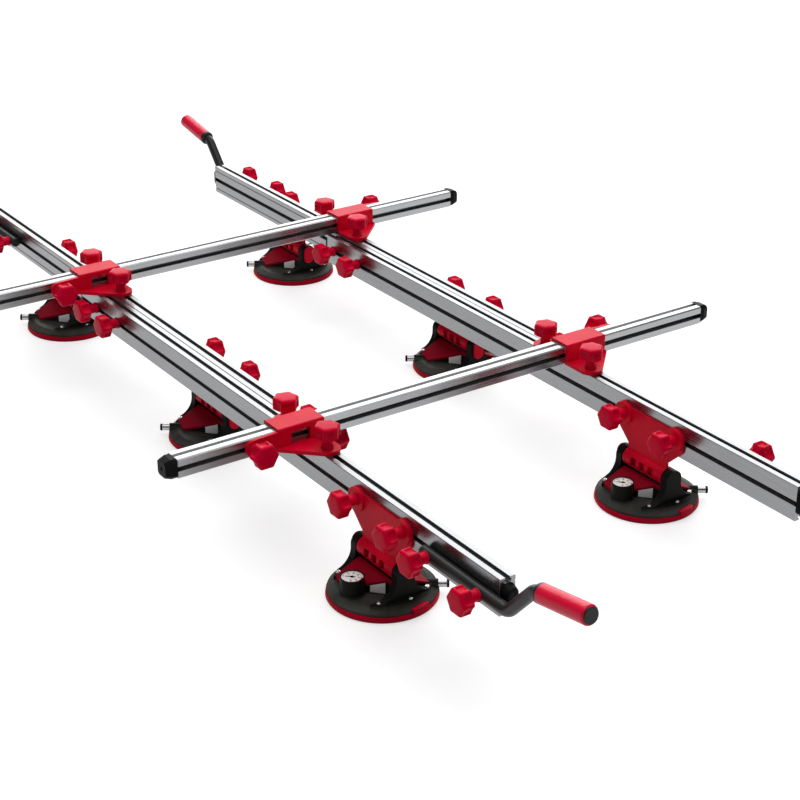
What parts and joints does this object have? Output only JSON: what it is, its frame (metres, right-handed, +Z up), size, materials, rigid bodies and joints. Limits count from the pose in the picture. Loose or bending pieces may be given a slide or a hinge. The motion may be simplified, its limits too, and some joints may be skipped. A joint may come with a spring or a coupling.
{
  "type": "suction lifter",
  "caption": "Adjustable suction lifter: telescoping slotted rails and crossbars on tilting vacuum cups with gauges and pump plungers, with a bent carrying handle at each rail end.",
  "frame": {"origin": "on the floor under the pads, at the centre of the bounding box", "axes": "+X along the crossbars to the right, +Y along the rails to the rear, +Z up"},
  "size_m": [1.116, 2.3186, 0.2361],
  "materials": {
    "profile_aluminium": "satin anodised",
    "red_coat": "semi-gloss powder coat",
    "red_plastic": "moulded, semi-gloss",
    "red_grip": "moulded, satin",
    "red_rubber": "matte",
    "black_gloss": "moulded, semi-gloss",
    "black_plastic": "moulded, matte",
    "black_coat": "satin coat",
    "plunger_steel": "turned"
  },
  "bodies": {
    "rear_left": {"rear_left_rail": "profile_aluminium", "rear_left_end_plugs": "black_plastic", "rear_left_cross_clamp": "red_coat", "rear_left_handle_bar": "black_coat", "rear_left_handle_grip": "red_grip", "rear_left_cup_brackets": "red_coat", "rear_left_clamp_knobs": "red_plastic", "rear_crossbar": "profile_aluminium"},
    "rear_right": {"rear_right_rail": "profile_aluminium", "rear_right_end_plugs": "black_plastic", "rear_right_cross_clamp": "red_coat", "rear_right_handle_bar": "black_coat", "rear_right_handle_grip": "red_grip", "rear_right_cup_brackets": "red_coat", "rear_right_clamp_knobs": "red_plastic"},
    "front_left": {"front_left_rail": "profile_aluminium", "front_left_end_plugs": "black_plastic", "front_left_cross_clamp": "red_coat", "front_left_handle_bar": "black_coat", "front_left_handle_grip": "red_grip", "front_left_cup_brackets": "red_coat", "front_left_clamp_knobs": "red_plastic", "front_crossbar": "profile_aluminium"},
    "front_right": {"front_right_rail": "profile_aluminium", "front_right_end_plugs": "black_plastic", "front_right_cross_clamp": "red_coat", "front_right_handle_bar": "black_coat", "front_right_handle_grip": "red_grip", "front_right_cup_brackets": "red_coat", "front_right_clamp_knobs": "red_plastic"},
    "front_left_cup": {"front_left_cup_housing": "black_gloss", "front_left_cup_pad": "red_rubber", "front_left_cup_bridge": "red_plastic", "front_left_cup_gauge": "black_gloss"},
    "front_left_cup_plunger": {"front_left_cup_plunger": "plunger_steel"},
    "front_right_cup": {"front_right_cup_housing": "black_gloss", "front_right_cup_pad": "red_rubber", "front_right_cup_bridge": "red_plastic", "front_right_cup_gauge": "black_gloss"},
    "front_right_cup_plunger": {"front_right_cup_plunger": "plunger_steel"},
    "middle_left_cup": {"middle_left_cup_housing": "black_gloss", "middle_left_cup_pad": "red_rubber", "middle_left_cup_bridge": "red_plastic", "middle_left_cup_gauge": "black_gloss"},
    "middle_left_cup_plunger": {"middle_left_cup_plunger": "plunger_steel"},
    "middle_right_cup": {"middle_right_cup_housing": "black_gloss", "middle_right_cup_pad": "red_rubber", "middle_right_cup_bridge": "red_plastic", "middle_right_cup_gauge": "black_gloss"},
    "middle_right_cup_plunger": {"middle_right_cup_plunger": "plunger_steel"},
    "rear_left_cup": {"rear_left_cup_housing": "black_gloss", "rear_left_cup_pad": "red_rubber", "rear_left_cup_bridge": "red_plastic", "rear_left_cup_gauge": "black_gloss"},
    "rear_left_cup_plunger": {"rear_left_cup_plunger": "plunger_steel"},
    "rear_right_cup": {"rear_right_cup_housing": "black_gloss", "rear_right_cup_pad": "red_rubber", "rear_right_cup_bridge": "red_plastic", "rear_right_cup_gauge": "black_gloss"},
    "rear_right_cup_plunger": {"rear_right_cup_plunger": "plunger_steel"}
  },
  "joints": [
    {"name": "width", "type": "slide", "parent": "rear_left", "child": "rear_right", "axis": [1, 0, 0], "range_m": [-0.3, 0.15]},
    {"name": "length_left", "type": "slide", "parent": "rear_left", "child": "front_left", "axis": [0, 1, 0], "range_m": [-0.5, 0.28]},
    {"name": "length_right", "type": "slide", "parent": "rear_right", "child": "front_right", "axis": [0, 1, 0], "range_m": [-0.5, 0.28]},
    {"name": "front_left_cup_tilt", "type": "hinge", "parent": "front_left", "child": "front_left_cup", "pos_m": [-0.31215, -0.62, 0.0645], "axis": [0, 1, 0], "range_deg": [-20, 20]},
    {"name": "front_right_cup_tilt", "type": "hinge", "parent": "front_right", "child": "front_right_cup", "pos_m": [0.22585, -0.62, 0.0645], "axis": [0, 1, 0], "range_deg": [-20, 20]},
    {"name": "middle_left_cup_tilt", "type": "hinge", "parent": "rear_left", "child": "middle_left_cup", "pos_m": [-0.25585, 0, 0.0645], "axis": [0, 1, 0], "range_deg": [-20, 20]},
    {"name": "middle_right_cup_tilt", "type": "hinge", "parent": "rear_right", "child": "middle_right_cup", "pos_m": [0.28215, 0, 0.0645], "axis": [0, 1, 0], "range_deg": [-20, 20]},
    {"name": "rear_left_cup_tilt", "type": "hinge", "parent": "rear_left", "child": "rear_left_cup", "pos_m": [-0.25585, 0.62, 0.0645], "axis": [0, 1, 0], "range_deg": [-20, 20]},
    {"name": "rear_right_cup_tilt", "type": "hinge", "parent": "rear_right", "child": "rear_right_cup", "pos_m": [0.28215, 0.62, 0.0645], "axis": [0, 1, 0], "range_deg": [-20, 20]},
    {"name": "front_left_cup_pump", "type": "slide", "parent": "front_left_cup", "child": "front_left_cup_plunger", "axis": [-0.829, 0.5592, 0], "range_m": [0, 0.01], "stiffness_N_per_m": 600, "springref_m": -0.008},
    {"name": "front_right_cup_pump", "type": "slide", "parent": "front_right_cup", "child": "front_right_cup_plunger", "axis": [-0.829, 0.5592, 0], "range_m": [0, 0.01], "stiffness_N_per_m": 600, "springref_m": -0.008},
    {"name": "middle_left_cup_pump", "type": "slide", "parent": "middle_left_cup", "child": "middle_left_cup_plunger", "axis": [0.829, -0.5592, 0], "range_m": [0, 0.01], "stiffness_N_per_m": 600, "springref_m": -0.008},
    {"name": "middle_right_cup_pump", "type": "slide", "parent": "middle_right_cup", "child": "middle_right_cup_plunger", "axis": [0.829, -0.5592, 0], "range_m": [0, 0.01], "stiffness_N_per_m": 600, "springref_m": -0.008},
    {"name": "rear_left_cup_pump", "type": "slide", "parent": "rear_left_cup", "child": "rear_left_cup_plunger", "axis": [0.829, -0.5592, 0], "range_m": [0, 0.01], "stiffness_N_per_m": 600, "springref_m": -0.008},
    {"name": "rear_right_cup_pump", "type": "slide", "parent": "rear_right_cup", "child": "rear_right_cup_plunger", "axis": [0.829, -0.5592, 0], "range_m": [0, 0.01], "stiffness_N_per_m": 600, "springref_m": -0.008}
  ],
  "couplings": [
    {"joint": "length_right", "follows": "length_left", "ratio": 1}
  ]
}
